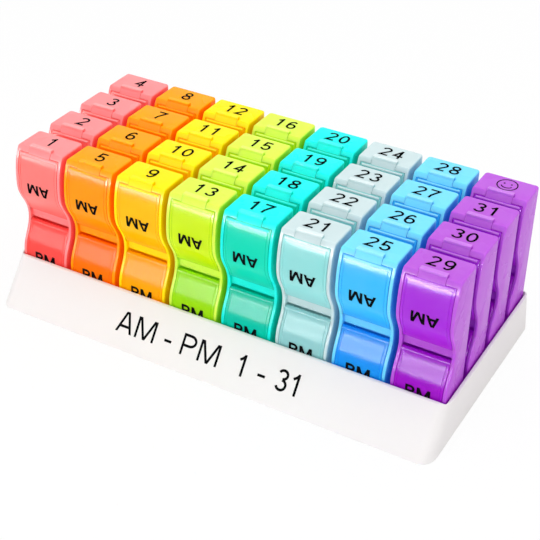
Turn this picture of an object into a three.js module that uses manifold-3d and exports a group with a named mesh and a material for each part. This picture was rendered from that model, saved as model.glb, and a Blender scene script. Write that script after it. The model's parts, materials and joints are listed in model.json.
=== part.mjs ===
// Monthly pill box: 32 upright two-compartment day boxes that stand in an open tray.
// Millimetres, +Z up. X runs along the eight columns, the tray's label side faces -Y,
// and the origin is on the table under the middle of the tray.
import * as THREE from "three";
import { mergeVertices } from "three/addons/utils/BufferGeometryUtils.js";
import Module from "manifold-3d";

const wasm = await Module();
wasm.setup();

// Driving dimensions: the set of boxes
const column_count = 8;
const row_count = 4;
const column_gap = 2.6;
const row_gap = 4;

// Driving dimensions: one day box
const box_width = 25.4;
const box_height = 76;
const top_depth = 15.5;
const am_bulge = 4.5;
const pm_bulge = 4.5;
const waist_inset = 1.3;
const waist_height = 38;
const side_wall = 1.5;
const back_wall = 1.5;
const top_wall = 2.4;
const bottom_wall = 2.4;
const divider_wall = 2;
const divider_recess = 1.6;
const lip_wall = 1.4;
const lip_clearance = 0.4;
const back_corner_radius = 1.6;
const top_corner_radius = 0.8;

// Driving dimensions: the lids and their hinges
const lid_wall = 1.4;
const lid_clearance = 0.3;
const barrel_radius = 1.5;
const barrel_inset = 0.3;
const hinge_rise = 3.3;
const pin_radius = 0.8;
const pin_clearance = 0.3;
const pin_reach = 0.7;
const catch_width = 12;
const catch_depth = 2.2;
const catch_rise = 1.2;

// Driving dimensions: the tray
const pocket_clearance = 0.8;
const seat_gap = 0.3;
const rim_wall = 1.6;
const rim_height = 21.1;
const floor_height = 2.5;
const floor_wall = 1.5;
const front_flare = 16;
const back_flare = 4;
const side_flare = 0.5;
const skirt_wall = 1.8;
const rim_bridge = 2.2;
const base_corner_radius = 6;
const pocket_corner_radius = 1.5;
const rib_wall = 2;
const cross_rib_count = 3;

// One overrun serves every cut that has to pass through a face.
const overrun = 3;

// Shares of the S-shaped front: where each belly is fullest and how its curves are pulled
const belly_height_share = 0.5;
const crown_pull_share = 0.55;
const crown_drop_share = 0.16;
const belly_pull_share = 0.5;
const waist_pull_share = 0.42;

// Facets of a round stretch
const curve_steps = 3;
const corner_steps = 2;
const barrel_sides = 8;
const pin_sides = 6;

const column_colours = [0xe8646e, 0xf59a2c, 0xffc832, 0xb4e650, 0x1fc8b4, 0xdcebe8, 0x4aaee6, 0xa050d2];
const tray_colour = 0xf4f2f1;

// Sizes worked out from the driving dimensions
const box_depth = Math.max(am_bulge, pm_bulge) + top_depth;
const column_pitch = box_width + column_gap;
const row_pitch = box_depth + row_gap;
const opening_width = box_width - 2 * side_wall;
const lid_width = opening_width - 2 * lid_clearance;
const pocket_length = (column_count - 1) * column_pitch + box_width + 2 * pocket_clearance;
const pocket_depth = (row_count - 1) * row_pitch + box_depth + 2 * pocket_clearance;
const rim_length = pocket_length + 2 * rim_wall;
const rim_depth = pocket_depth + 2 * rim_wall;
const base_length = rim_length + 2 * side_flare;
const base_depth = rim_depth + front_flare + back_flare;
const pocket_middle_y = (front_flare - back_flare) / 2;
const first_belly_y = pocket_middle_y - pocket_depth / 2 + pocket_clearance;
const first_box_y = first_belly_y + Math.max(am_bulge, pm_bulge);
const box_floor_z = floor_height + seat_gap;

// Booleans on closed meshes

function toSolid(geometry) {
  const bare = new THREE.BufferGeometry();
  bare.setAttribute("position", geometry.getAttribute("position").clone());
  if (geometry.index) bare.setIndex(geometry.index.clone());
  const merged = mergeVertices(bare);
  const mesh = new wasm.Mesh({
    numProp: 3,
    vertProperties: new Float32Array(merged.getAttribute("position").array),
    triVerts: new Uint32Array(merged.index.array),
  });
  return new wasm.Manifold(mesh);
}

function toGeometry(solid) {
  const mesh = solid.getMesh();
  const geometry = new THREE.BufferGeometry();
  geometry.setAttribute("position", new THREE.BufferAttribute(new Float32Array(mesh.vertProperties), 3));
  geometry.setIndex(new THREE.BufferAttribute(new Uint32Array(mesh.triVerts), 1));
  geometry.computeVertexNormals();
  return geometry;
}

// Solids from outlines

// An outline drawn in (y, z) becomes a solid of the given width, centred on x = 0.
function acrossWidth(shape, width) {
  const geometry = new THREE.ExtrudeGeometry(shape, {
    depth: width,
    bevelEnabled: false,
    curveSegments: curve_steps,
  });
  geometry.translate(0, 0, -width / 2);
  const turn = new THREE.Matrix4().makeBasis(
    new THREE.Vector3(0, 1, 0),
    new THREE.Vector3(0, 0, 1),
    new THREE.Vector3(1, 0, 0),
  );
  geometry.applyMatrix4(turn);
  return toSolid(geometry);
}

// An outline drawn in (x, y) becomes a solid between two heights.
function upright(shape, low_z, high_z) {
  const geometry = new THREE.ExtrudeGeometry(shape, {
    depth: high_z - low_z,
    bevelEnabled: false,
    curveSegments: corner_steps,
  });
  geometry.translate(0, 0, low_z);
  return toSolid(geometry);
}

// An outline drawn in (x, z) becomes a solid between two depths.
function frontToBack(shape, front_y, back_y) {
  const geometry = new THREE.ExtrudeGeometry(shape, {
    depth: back_y - front_y,
    bevelEnabled: false,
    curveSegments: 1,
  });
  geometry.rotateX(Math.PI / 2);
  geometry.translate(0, back_y, 0);
  return toSolid(geometry);
}

function cuboid(low, high) {
  const geometry = new THREE.BoxGeometry(high[0] - low[0], high[1] - low[1], high[2] - low[2]);
  geometry.translate((low[0] + high[0]) / 2, (low[1] + high[1]) / 2, (low[2] + high[2]) / 2);
  return toSolid(geometry);
}

// A round bar along x, centred on x = 0.
function crossBar(radius, length, sides, y, z) {
  const geometry = new THREE.CylinderGeometry(radius, radius, length, sides);
  geometry.rotateZ(Math.PI / 2);
  geometry.translate(0, y, z);
  return toSolid(geometry);
}

function roundedRectangle(low_x, low_y, high_x, high_y, radius) {
  const shape = new THREE.Shape();
  shape.moveTo(low_x + radius, low_y);
  shape.lineTo(high_x - radius, low_y);
  shape.quadraticCurveTo(high_x, low_y, high_x, low_y + radius);
  shape.lineTo(high_x, high_y - radius);
  shape.quadraticCurveTo(high_x, high_y, high_x - radius, high_y);
  shape.lineTo(low_x + radius, high_y);
  shape.quadraticCurveTo(low_x, high_y, low_x, high_y - radius);
  shape.lineTo(low_x, low_y + radius);
  shape.quadraticCurveTo(low_x, low_y, low_x + radius, low_y);
  return shape;
}

// The S-shaped front of a day box: y against height, with y = 0 at the top front edge

const am_belly_z = waist_height + (box_height - waist_height) * belly_height_share;
const pm_belly_z = waist_height * belly_height_share;

// One half of the front, from its outer end over the belly to the waist
function frontCurves(end_z, belly_z, belly) {
  const end_span = end_z - belly_z;
  const waist_span = belly_z - waist_height;
  return [
    new THREE.CubicBezierCurve(
      new THREE.Vector2(0, end_z),
      new THREE.Vector2(-belly * crown_pull_share, end_z - end_span * crown_drop_share),
      new THREE.Vector2(-belly, belly_z + end_span * belly_pull_share),
      new THREE.Vector2(-belly, belly_z),
    ),
    new THREE.CubicBezierCurve(
      new THREE.Vector2(-belly, belly_z),
      new THREE.Vector2(-belly, belly_z - waist_span * waist_pull_share),
      new THREE.Vector2(waist_inset, waist_height + waist_span * waist_pull_share),
      new THREE.Vector2(waist_inset, waist_height),
    ),
  ];
}

const am_curves = frontCurves(box_height, am_belly_z, am_bulge);
const pm_curves = frontCurves(0, pm_belly_z, pm_bulge);

// The side outline of a whole box: front from bottom to top, then the flat top and back
function boxOutline() {
  const shape = new THREE.Shape();
  shape.moveTo(top_depth, 0);
  shape.lineTo(top_depth, box_height);
  shape.lineTo(0, box_height);
  for (const curve of am_curves) {
    shape.bezierCurveTo(curve.v1.x, curve.v1.y, curve.v2.x, curve.v2.y, curve.v3.x, curve.v3.y);
  }
  for (const curve of [...pm_curves].reverse()) {
    shape.bezierCurveTo(curve.v2.x, curve.v2.y, curve.v1.x, curve.v1.y, curve.v0.x, curve.v0.y);
  }
  return shape;
}

// The same facets as the box's own front
function frontPoints(curves) {
  return curves.flatMap((curve) => curve.getPoints(curve_steps));
}

// Those facets, cut to the stretch between two heights
function frontStretch(curves, from_z, to_z) {
  const points = frontPoints(curves);
  const low_z = Math.min(from_z, to_z);
  const high_z = Math.max(from_z, to_z);
  const inside = points.filter((point) => point.y > low_z && point.y < high_z);
  const sorted = inside.sort((a, b) => a.y - b.y);
  const stretch = [new THREE.Vector2(frontAt(points, low_z), low_z), ...sorted];
  stretch.push(new THREE.Vector2(frontAt(points, high_z), high_z));
  return stretch.filter((point, index) => index === 0 || point.y > stretch[index - 1].y);
}

function frontAt(points, z) {
  for (let i = 1; i < points.length; i += 1) {
    const [a, b] = [points[i - 1], points[i]];
    const within = (z - a.y) * (z - b.y) <= 0 && a.y !== b.y;
    if (within) return a.x + ((z - a.y) / (b.y - a.y)) * (b.x - a.x);
  }
  return 0;
}

// What differs between the upper and the lower compartment; direction points away from the waist
const upper = {
  curves: am_curves,
  direction: 1,
  end_z: box_height,
  end_wall: top_wall,
  catch_end_z: box_height + catch_rise,
};
const lower = {
  curves: pm_curves,
  direction: -1,
  end_z: 0,
  end_wall: bottom_wall,
  catch_end_z: 0,
};
for (const half of [upper, lower]) {
  half.divider_z = waist_height + half.direction * (divider_wall / 2);
  half.hinge_z = half.divider_z + half.direction * hinge_rise;
  half.hinge_y = frontAt(frontPoints(half.curves), half.hinge_z) + barrel_inset + barrel_radius;
  half.ceiling_z = half.end_z - half.direction * half.end_wall;
  half.lid_end_z = half.ceiling_z - half.direction * lid_clearance;
}
const front_limit_y = -Math.max(am_bulge, pm_bulge) - overrun;

function spanOf(a, b) {
  return [Math.min(a, b), Math.max(a, b)];
}

// Lids

// The curved panel between the box's two front rims
function lidPanel(half) {
  const outer = frontStretch(half.curves, half.hinge_z, half.lid_end_z);
  const inner = outer.map((point) => new THREE.Vector2(point.x + lid_wall, point.y)).reverse();
  return acrossWidth(new THREE.Shape([...outer, ...inner]), lid_width);
}

// The catch tongue fills the notch in the box's end wall and gives the thumb an edge to lift
function catchTongue(half) {
  const tongue_root_z = half.lid_end_z - half.direction * lid_wall;
  const face = frontStretch(half.curves, tongue_root_z, half.end_z);
  const back_y = catch_depth;
  const [low_z, high_z] = spanOf(tongue_root_z, half.catch_end_z);
  const outline = [...face];
  const top = face[face.length - 1];
  if (high_z > top.y) outline.push(new THREE.Vector2(top.x, high_z));
  outline.push(new THREE.Vector2(back_y, high_z), new THREE.Vector2(back_y, low_z));
  return acrossWidth(new THREE.Shape(outline), catch_width);
}

// A separate lid turns on a barrel with a stub pin at each end
function hingedLid(half) {
  const barrel = crossBar(barrel_radius, lid_width, barrel_sides, half.hinge_y, half.hinge_z);
  const pin_length = lid_width + 2 * (lid_clearance + pin_reach);
  const pins = crossBar(pin_radius, pin_length, pin_sides, half.hinge_y, half.hinge_z);
  return lidPanel(half).add(catchTongue(half)).add(barrel).add(pins);
}

// A lid that stays shut is joined to the divider by its hinge strip
function joinedLid(half) {
  const [low_z, high_z] = spanOf(waist_height, half.hinge_z + half.direction * barrel_radius);
  const strip_front_y = half.hinge_y - barrel_radius + lid_wall / 2;
  const strip = cuboid(
    [-lid_width / 2, strip_front_y, low_z],
    [lid_width / 2, strip_front_y + 2 * barrel_radius, high_z],
  );
  return lidPanel(half).add(strip);
}

// Day boxes

function compartment(half) {
  const [low_z, high_z] = spanOf(half.divider_z, half.ceiling_z);
  return cuboid(
    [-opening_width / 2, front_limit_y, low_z],
    [opening_width / 2, top_depth - back_wall, high_z],
  );
}

function catchNotch(half) {
  const reach = half.direction * overrun;
  const [low_z, high_z] = spanOf(half.ceiling_z - reach, half.end_z + reach);
  const half_width = catch_width / 2 + lid_clearance;
  return cuboid([-half_width, front_limit_y, low_z], [half_width, catch_depth + lid_clearance, high_z]);
}

function pinSockets(half) {
  const socket_radius = pin_radius + pin_clearance;
  const length = opening_width + 2 * (pin_reach + pin_clearance);
  return crossBar(socket_radius, length, pin_sides, half.hinge_y, half.hinge_z);
}

// The divider ends in an upright lip that closes the slots to the two hinge barrels
function dividerLip() {
  const half_height = divider_wall / 2 + hinge_rise - barrel_radius - barrel_inset - lip_clearance;
  const half_width = (opening_width + side_wall) / 2;
  const front_y = waist_inset + divider_recess;
  return cuboid(
    [-half_width, front_y, waist_height - half_height],
    [half_width, front_y + lip_wall, waist_height + half_height],
  );
}

// The open shell: S-shaped sides, flat back and top, and one divider set back at the waist
function boxShell(notched_halves) {
  const plan = roundedRectangle(
    -box_width / 2,
    front_limit_y - back_corner_radius,
    box_width / 2,
    top_depth,
    back_corner_radius,
  );
  const face = roundedRectangle(
    -box_width / 2,
    -overrun,
    box_width / 2,
    box_height,
    top_corner_radius,
  );
  let shell = acrossWidth(boxOutline(), box_width);
  shell = shell.intersect(upright(plan, -overrun, box_height + overrun));
  shell = shell.intersect(frontToBack(face, front_limit_y, top_depth + overrun));
  const recess = cuboid(
    [-opening_width / 2, front_limit_y, lower.divider_z - overrun],
    [opening_width / 2, waist_inset + divider_recess, upper.divider_z + overrun],
  );
  for (const half of [upper, lower]) shell = shell.subtract(compartment(half));
  for (const half of notched_halves) shell = shell.subtract(catchNotch(half));
  return shell.subtract(recess);
}

const upper_lid = toGeometry(hingedLid(upper));
const lower_lid = toGeometry(hingedLid(lower));
const open_box = toGeometry(
  boxShell([upper, lower]).add(dividerLip()).subtract(pinSockets(upper)).subtract(pinSockets(lower)),
);

// The boxes behind keep their lids shut, and only the upper catch of theirs can be seen.
const closed_box = toGeometry(
  boxShell([upper]).add(joinedLid(upper)).add(catchTongue(upper)).add(joinedLid(lower)),
);

// Tray

// A block whose rim outline and base outline differ: the base is extruded, then its top is drawn in
function flaredBlock(base, rim, low_z, high_z, radius) {
  const shape = roundedRectangle(base.low_x, base.low_y, base.high_x, base.high_y, radius);
  const geometry = new THREE.ExtrudeGeometry(shape, {
    depth: high_z - low_z,
    bevelEnabled: false,
    curveSegments: corner_steps,
  });
  geometry.translate(0, 0, low_z);
  const position = geometry.getAttribute("position");
  const middle_z = (low_z + high_z) / 2;
  for (let i = 0; i < position.count; i += 1) {
    if (position.getZ(i) < middle_z) continue;
    const share_x = (position.getX(i) - base.low_x) / (base.high_x - base.low_x);
    const share_y = (position.getY(i) - base.low_y) / (base.high_y - base.low_y);
    position.setX(i, rim.low_x + share_x * (rim.high_x - rim.low_x));
    position.setY(i, rim.low_y + share_y * (rim.high_y - rim.low_y));
  }
  return toSolid(geometry);
}

function trayRectangle(length, low_y, high_y) {
  return { low_x: -length / 2, high_x: length / 2, low_y, high_y };
}

// The hollow under the tray: it follows the skirt in front and behind and leaves the ribs standing
function underside(base, rim) {
  const top_z = rim_height - rim_bridge;
  const drop_share = top_z / rim_height;
  const hollow_length = pocket_length - 2 * skirt_wall;
  const low = trayRectangle(hollow_length, base.low_y + skirt_wall, base.high_y - skirt_wall);
  const high = trayRectangle(
    hollow_length,
    base.low_y + (rim.low_y - base.low_y) * drop_share + skirt_wall,
    base.high_y + (rim.high_y - base.high_y) * drop_share - skirt_wall,
  );
  const well = cuboid(
    [-pocket_length / 2 - rim_wall, rim.low_y, floor_height - floor_wall],
    [pocket_length / 2 + rim_wall, rim.high_y, rim_height + overrun],
  );
  let hollow = flaredBlock(low, high, 0, top_z, pocket_corner_radius).subtract(well);
  const long_rib = cuboid([-base_length, -rib_wall / 2, -overrun], [base_length, rib_wall / 2, rim_height]);
  hollow = hollow.subtract(long_rib);
  for (let i = 0; i < cross_rib_count; i += 1) {
    const middle_x = ((i + 1) / (cross_rib_count + 1) - 1 / 2) * pocket_length;
    const rib = cuboid(
      [middle_x - rib_wall / 2, -base_depth, -overrun],
      [middle_x + rib_wall / 2, base_depth, rim_height],
    );
    hollow = hollow.subtract(rib);
  }
  return hollow;
}

function traySolid() {
  const rim = trayRectangle(rim_length, pocket_middle_y - rim_depth / 2, pocket_middle_y + rim_depth / 2);
  const base = trayRectangle(base_length, -base_depth / 2, base_depth / 2);
  const pocket = upright(
    roundedRectangle(
      -pocket_length / 2,
      pocket_middle_y - pocket_depth / 2,
      pocket_length / 2,
      pocket_middle_y + pocket_depth / 2,
      pocket_corner_radius,
    ),
    floor_height,
    rim_height + overrun,
  );
  const block = flaredBlock(base, rim, 0, rim_height, base_corner_radius);
  return block.subtract(underside(base, rim)).subtract(pocket);
}

// Assembly

function plastic(colour) {
  return new THREE.MeshStandardMaterial({ color: colour, roughness: 0.25, metalness: 0 });
}

function place(group, name, geometry, colour, x, y, z) {
  const mesh = new THREE.Mesh(geometry, plastic(colour));
  mesh.name = name;
  mesh.position.set(x, y, z);
  group.add(mesh);
}

const group = new THREE.Group();
place(group, "tray", toGeometry(traySolid()), tray_colour, 0, 0, 0);

for (let column = 0; column < column_count; column += 1) {
  for (let row = 0; row < row_count; row += 1) {
    const day = String(column * row_count + row + 1).padStart(2, "0");
    const x = (column - (column_count - 1) / 2) * column_pitch;
    const y = first_box_y + row * row_pitch;
    const colour = column_colours[column % column_colours.length];
    const shows_front = row === 0 || column === column_count - 1;
    place(group, `day_box_${day}`, shows_front ? open_box : closed_box, colour, x, y, box_floor_z);
    if (shows_front) {
      place(group, `am_lid_${day}`, upper_lid, colour, x, y, box_floor_z);
      place(group, `pm_lid_${day}`, lower_lid, colour, x, y, box_floor_z);
    }
  }
}

export default group;
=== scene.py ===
"""Monthly pill box: moulded surfaces, printing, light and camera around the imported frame.

The frame gives where every day box, lid and the tray stand. Each shape is modelled once, in the
coordinates of one day box, and a copy is then set on every box of the frame.
"""

from __future__ import annotations

import json
import logging
import math
from collections.abc import Callable
from dataclasses import dataclass, field
from enum import Enum
from functools import cached_property
from typing import Union

import bmesh
import bpy
from mathutils import Matrix, Vector

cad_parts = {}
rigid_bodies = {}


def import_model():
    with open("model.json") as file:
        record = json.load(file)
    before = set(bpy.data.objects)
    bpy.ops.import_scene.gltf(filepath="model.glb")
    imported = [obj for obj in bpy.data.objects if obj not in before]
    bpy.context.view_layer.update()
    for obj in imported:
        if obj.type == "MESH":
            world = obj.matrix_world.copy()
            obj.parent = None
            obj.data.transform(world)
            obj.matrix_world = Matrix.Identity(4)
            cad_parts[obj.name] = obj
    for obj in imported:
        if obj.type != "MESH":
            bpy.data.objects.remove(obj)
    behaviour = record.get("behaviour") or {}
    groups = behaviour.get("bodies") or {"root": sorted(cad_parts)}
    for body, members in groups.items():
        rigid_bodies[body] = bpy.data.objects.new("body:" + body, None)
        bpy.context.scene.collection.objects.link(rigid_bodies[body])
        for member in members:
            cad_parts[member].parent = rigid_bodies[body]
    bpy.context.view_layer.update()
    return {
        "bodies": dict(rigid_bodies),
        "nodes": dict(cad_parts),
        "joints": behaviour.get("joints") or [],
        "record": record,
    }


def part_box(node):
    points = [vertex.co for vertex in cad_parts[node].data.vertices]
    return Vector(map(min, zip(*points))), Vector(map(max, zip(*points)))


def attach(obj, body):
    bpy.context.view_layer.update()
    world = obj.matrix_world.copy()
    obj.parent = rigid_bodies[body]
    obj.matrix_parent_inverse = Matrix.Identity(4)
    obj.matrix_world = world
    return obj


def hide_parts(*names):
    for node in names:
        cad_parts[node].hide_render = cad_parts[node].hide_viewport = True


Pair = tuple[float, float]
Colour = tuple[float, float, float, float]
Feed = Union[bpy.types.NodeSocket, float, Colour]

LOG = logging.getLogger("pill_box")
MM = 0.001
NEAR = 0.01 * MM
MERGE = 0.04 * MM
CUT_TOLERANCE = 1e-7
WHITE = (1.0, 1.0, 1.0, 1.0)
IMAGE_PIXELS = 540
DAYS_IN_MONTH = 31
ROWS = 4
COLUMNS = 8
LABEL = "AM - PM  1 - 31"


def linear(value: int) -> float:
    """Undo the screen's curve for one channel.

    Args:
        value: The channel from 0 to 255.

    Returns:
        The channel's light from 0 to 1.
    """
    toe, slope, lift, power = 0.04045, 12.92, 0.055, 2.4
    share = value / 255
    return share / slope if share <= toe else ((share + lift) / (1 + lift)) ** power


def srgb(red: int, green: int, blue: int) -> Colour:
    """Turn a colour seen on screen into the linear colour that a shader takes, with an alpha of 1."""
    return (linear(red), linear(green), linear(blue), 1.0)


def shaded(colour: Colour, share: float) -> Colour:
    """Return a colour with its light times a share."""
    return tuple(channel * share for channel in colour[:3]) + (1.0,)


class Half(Enum):
    """The two compartments of a day box: the sign points away from the waist."""

    MORNING = 1
    EVENING = -1


class Join(Enum):
    """How one closed mesh meets another: cut by it, or welded to it."""

    CUT = "DIFFERENCE"
    WELD = "UNION"


@dataclass(frozen=True)
class Grain:
    """A fine grain in a moulded skin, which only the light feels.

    Attributes:
        scale: Its waves per metre.
        detail: How many finer layers it has.
        strength: How strongly it shows.
        height: How deep it is.
    """

    scale: float
    detail: float
    strength: float
    height: float = 0.2 * MM


@dataclass
class Shading:
    """The nodes of one material or world, put in by what feeds what.

    Attributes:
        owner: The material or the world.
    """

    owner: bpy.types.Material | bpy.types.World

    def __post_init__(self) -> None:
        """Turn the nodes on."""
        self.owner.use_nodes = True
        self.tree = self.owner.node_tree

    @cached_property
    def place(self) -> bpy.types.NodeSocket:
        """Return the piece's own coordinates."""
        return self.node("ShaderNodeTexCoord", {}).outputs["Object"]

    def feed(self, node: bpy.types.Node, feeds: dict[str | int, Feed]) -> bpy.types.Node:
        """Set or link some sockets of a node.

        Args:
            node: The node.
            feeds: A value or another node's socket for each socket, by its name or index.

        Returns:
            The same node.
        """
        for key, value in feeds.items():
            if isinstance(value, bpy.types.NodeSocket):
                self.tree.links.new(value, node.inputs[key])
            else:
                node.inputs[key].default_value = value
        return node

    def node(self, kind: str, feeds: dict[str | int, Feed], **settings: object) -> bpy.types.Node:
        """Add a node.

        Args:
            kind: Its type.
            feeds: What its sockets get.
            **settings: Its settings that aren't sockets.

        Returns:
            The node.
        """
        node = self.tree.nodes.new(kind)
        for key, setting in settings.items():
            setattr(node, key, setting)
        return self.feed(node, feeds)

    def noise(self, scale: float, detail: float = 2.0) -> bpy.types.NodeSocket:
        """Add soft noise that stays with the piece.

        Args:
            scale: Its waves per metre.
            detail: How many finer layers it has.

        Returns:
            The socket with values from 0 to 1.
        """
        feeds = {"Vector": self.place, "Scale": scale, "Detail": detail}
        return self.node("ShaderNodeTexNoise", feeds).outputs["Fac"]

    def between(self, value: Feed, span: Pair, result: Pair, smooth: bool = False) -> bpy.types.NodeSocket:
        """Go from one value to another while a socket crosses a span.

        Args:
            value: The socket that crosses it.
            span: Where the change starts and ends.
            result: The values before and after.
            smooth: Whether the change eases in and out.

        Returns:
            The socket with the result.
        """
        ends = {"From Min": span[0], "From Max": span[1], "To Min": result[0], "To Max": result[1]}
        kind = "SMOOTHSTEP" if smooth else "LINEAR"
        fade = self.node("ShaderNodeMapRange", {"Value": value, **ends}, interpolation_type=kind)
        return fade.outputs["Result"]

    def blend(self, share: Feed, first: Feed, second: Feed) -> bpy.types.NodeSocket:
        """Blend two colours, with a share of the second."""
        return self.node("ShaderNodeMix", {0: share, 6: first, 7: second}, data_type="RGBA").outputs[2]

    def calculate(self, operation: str, first: Feed, second: Feed) -> bpy.types.NodeSocket:
        """Work out one number from two."""
        return self.node("ShaderNodeMath", {0: first, 1: second}, operation=operation).outputs[0]

    def bump(self, grain: Grain) -> bpy.types.NodeSocket:
        """Return the normals of a grain."""
        height = self.noise(grain.scale, grain.detail)
        feeds = {"Height": height, "Strength": grain.strength, "Distance": grain.height}
        return self.node("ShaderNodeBump", feeds).outputs["Normal"]

    def surface(self, feeds: dict[str | int, Feed]) -> bpy.types.Material:
        """Feed the material's own shader and return the material."""
        self.feed(self.tree.nodes["Principled BSDF"], feeds)
        return self.owner

    def show(self, lit: bpy.types.Node, seen: bpy.types.Node, share: float, output: str) -> None:
        """Give camera, glossy and transmission rays another shader than the light itself meets.

        Args:
            lit: The shader that the light meets.
            seen: The shader that those rays see over it.
            share: How much of it they see.
            output: The name of the node that takes the surface.
        """
        rays = self.node("ShaderNodeLightPath", {}).outputs
        eye = self.calculate("MAXIMUM", rays["Is Camera Ray"], rays["Is Glossy Ray"])
        eye = self.calculate("MAXIMUM", eye, rays["Is Transmission Ray"])
        feeds = {0: self.calculate("MULTIPLY", eye, share), 1: lit.outputs[0], 2: seen.outputs[0]}
        mix = self.node("ShaderNodeMixShader", feeds)
        self.feed(self.tree.nodes[output], {"Surface": mix.outputs[0]})


@dataclass(frozen=True)
class DyedPlastic:
    """Translucent polypropylene in one dye: a soft body colour under a moulded gloss.

    Attributes:
        name: The material's name.
        colour: The body colour.
        pale: The paler colour where the wall is thin.
        deep: The colour of the painted shade, from the waist down and where walls face each other, and of the
            painted glow.
        roughness: The gloss of the moulded skin.
        depth: The share of the painted shade from the waist down.
        waist: The heights between which that painted shade fades out.
        gap: How near another wall must be for painted shade to come in.
        open_span: The openness at which a near wall starts and stops painting shade.
        shut_share: The share of painted shade where walls close a place in.
        samples: How often the openness is tried.
        cloud_scale: The waves of the body's clouds per metre.
        cloud_detail: How many finer layers they have.
        cloud_span: The clouds' values between which the paler colour comes in.
        cloud_share: The most of the paler colour in them.
        rough_shares: The least and the most of the roughness in them.
        grain: The skin's grain.
        gloss: The weight of the clear moulded skin.
        low_gloss_share: The share of that weight below the tray's rim.
        rim: The heights between which the gloss grows, just over the tray's rim.
        gloss_roughness: How blurred the skin's reflections are.
        mirror: How much the body itself reflects.
        refraction: How strongly the plastic bends light.
        scatter: How much light wanders inside the wall.
        scatter_reach: How far it wanders.
        inner_light: A painted glow in the shade tint: the plastic gives off a little light of its own,
            standing in for light that comes through the walls.
    """

    name: str
    colour: Colour
    pale: Colour
    deep: Colour
    roughness: float
    depth: float
    waist: Pair = (40.8 * MM, 52 * MM)
    gap: float = 7 * MM
    open_span: Pair = (0.25, 0.85)
    shut_share: float = 0.88
    samples: int = 6
    cloud_scale: float = 55.0
    cloud_detail: float = 3.0
    cloud_span: Pair = (0.35, 0.75)
    cloud_share: float = 0.06
    rough_shares: Pair = (0.8, 1.3)
    grain: Grain = Grain(scale=900.0, detail=2.0, strength=0.05)
    gloss: float = 0.2
    low_gloss_share: float = 0.12
    rim: Pair = (33 * MM, 37 * MM)
    gloss_roughness: float = 0.18
    mirror: float = 0.04
    refraction: float = 1.49
    scatter: float = 0.7
    scatter_reach: float = 3 * MM
    inner_light: float = 0.1

    def build(self) -> bpy.types.Material:
        """Make the node material.

        Returns:
            The material.
        """
        nodes = Shading(bpy.data.materials.new(self.name))
        clouds = nodes.noise(self.cloud_scale, self.cloud_detail)
        thin = nodes.between(clouds, self.cloud_span, (0.0, self.cloud_share))
        height = nodes.node("ShaderNodeSeparateXYZ", {0: nodes.place}).outputs["Z"]
        # Painted shade: below the waist the colour turns to the shade tint, standing in for the shade of the
        # tray and the boxes beside.
        low = nodes.between(height, self.waist, (self.depth, 0.0), smooth=True)
        # Painted shade: ambient occlusion turns the colour to the shade tint where walls face each other, in
        # the gaps and recesses.
        near = nodes.node("ShaderNodeAmbientOcclusion", {"Distance": self.gap}, samples=self.samples)
        gap_shade = nodes.between(near.outputs["AO"], self.open_span, (self.shut_share, 0.0))
        rough = tuple(self.roughness * share for share in self.rough_shares)
        body = nodes.blend(thin, self.colour, self.pale)
        return nodes.surface({
            # The base colour takes whichever of the two painted shades is stronger.
            "Base Color": nodes.blend(nodes.calculate("MAXIMUM", low, gap_shade), body, self.deep),
            "Roughness": nodes.between(clouds, (0.0, 1.0), rough),
            "Normal": nodes.bump(self.grain),
            "Coat Weight": nodes.between(
                height, self.rim, (self.gloss * self.low_gloss_share, self.gloss), smooth=True,
            ),
            "Coat Roughness": self.gloss_roughness,
            "Specular IOR Level": self.mirror,
            "IOR": self.refraction,
            "Subsurface Weight": self.scatter,
            "Subsurface Radius": self.pale[:3],
            "Subsurface Scale": self.scatter_reach,
            # A painted glow: the plastic gives off a little light in the shade tint, though it is no lamp.
            "Emission Color": self.deep,
            "Emission Strength": self.inner_light,
        })


@dataclass(frozen=True)
class WhiteMoulding:
    """Opaque white plastic of the tray, with a fine moulded grain.

    Attributes:
        name: The material's name.
        colour: The body colour.
        roughness: The gloss of the skin.
        rough_shares: The least and the most of it where the plastic flowed.
        flow_scale: The waves of that flow per metre.
        flow_shade: How light the flow's darker places are.
        grain: The skin's grain.
        mirror: How much the body reflects.
    """

    name: str
    colour: Colour
    roughness: float = 0.5
    rough_shares: Pair = (0.85, 1.2)
    flow_scale: float = 14.0
    flow_shade: float = 0.97
    grain: Grain = Grain(scale=1400.0, detail=4.0, strength=0.06)
    mirror: float = 0.02

    def build(self) -> bpy.types.Material:
        """Make the node material.

        Returns:
            The material.
        """
        nodes = Shading(bpy.data.materials.new(self.name))
        flow = nodes.noise(self.flow_scale)
        rough = tuple(self.roughness * share for share in self.rough_shares)
        return nodes.surface({
            "Base Color": nodes.blend(flow, self.colour, shaded(self.colour, self.flow_shade)),
            "Roughness": nodes.between(flow, (0.0, 1.0), rough),
            "Normal": nodes.bump(self.grain),
            "Specular IOR Level": self.mirror,
        })


@dataclass(frozen=True)
class PrintedInk:
    """Black pad-printed ink, slightly uneven.

    Attributes:
        name: The material's name.
        colour: The ink's colour.
        speck_scale: The waves of its specks per metre.
        speck_shade: How much lighter they are.
        roughness: How dull the ink is.
        mirror: How much it reflects.
    """

    name: str
    colour: Colour
    speck_scale: float = 700.0
    speck_shade: float = 1.5
    roughness: float = 0.6
    mirror: float = 0.01

    def build(self) -> bpy.types.Material:
        """Make the node material.

        Returns:
            The material.
        """
        nodes = Shading(bpy.data.materials.new(self.name))
        specks = nodes.noise(self.speck_scale)
        return nodes.surface({
            "Base Color": nodes.blend(specks, self.colour, shaded(self.colour, self.speck_shade)),
            "Roughness": self.roughness,
            "Specular IOR Level": self.mirror,
        })


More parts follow.
